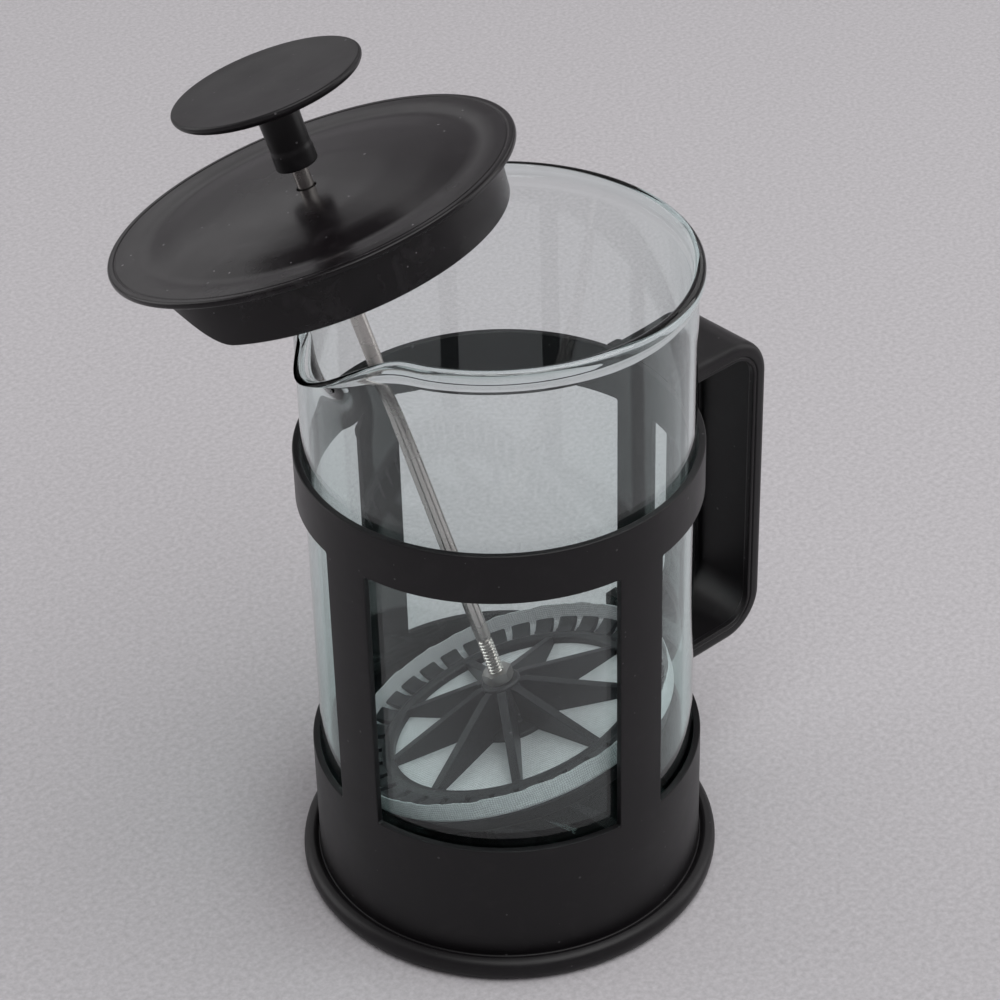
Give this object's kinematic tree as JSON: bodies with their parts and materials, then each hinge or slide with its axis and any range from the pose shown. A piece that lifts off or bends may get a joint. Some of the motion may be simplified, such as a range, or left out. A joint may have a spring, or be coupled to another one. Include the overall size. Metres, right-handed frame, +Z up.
{
  "type": "french press",
  "caption": "French press: black moulded holder with windows and D handle, glass beaker with lip, domed lid on a plunger rod with knob and mesh filter.",
  "frame": {"origin": "centre of the holder's flat underside, on the table", "axes": "+Z up, handle on +X, pouring lip of the beaker on -X"},
  "size_m": [0.1532, 0.146, 0.2229],
  "materials": {
    "holder_plastic": "satin",
    "handle_plastic": "satin",
    "lid_plastic": "satin",
    "knob_plastic": "satin",
    "filter_plastic": "satin",
    "borosilicate_glass": "clear",
    "rod_steel": "drawn",
    "nut_steel": "plated",
    "screw_steel": "plated",
    "mesh_steel": "woven",
    "insert_brass": "turned"
  },
  "bodies": {
    "holder": {"holder_frame": "holder_plastic", "handle": "handle_plastic", "handle_screw_upper": "screw_steel", "handle_screw_lower": "screw_steel"},
    "beaker": {"glass_beaker": "borosilicate_glass"},
    "plunger": {"plunger_knob": "knob_plastic", "knob_insert": "insert_brass", "plunger_rod": "rod_steel", "lock_nut": "nut_steel", "filter_spider": "filter_plastic", "filter_mesh": "mesh_steel", "filter_base_plate": "filter_plastic", "base_plate_insert": "insert_brass"},
    "lid": {"lid": "lid_plastic"}
  },
  "joints": [
    {"name": "beaker_lift", "type": "slide", "parent": "holder", "child": "beaker", "axis": [0, 0, 1], "range_m": [0, 0.18]},
    {"name": "plunger_draw", "type": "slide", "parent": "beaker", "child": "plunger", "axis": [0, 0, 1], "range_m": [0, 0.19]},
    {"name": "lid_slide", "type": "slide", "parent": "plunger", "child": "lid", "axis": [-0.146, 0.2817, 0.9483], "range_m": [-0.124, 0]}
  ],
  "couplings": [
    {"joint": "lid_slide", "follows": "plunger_draw", "ratio": -0.65}
  ]
}
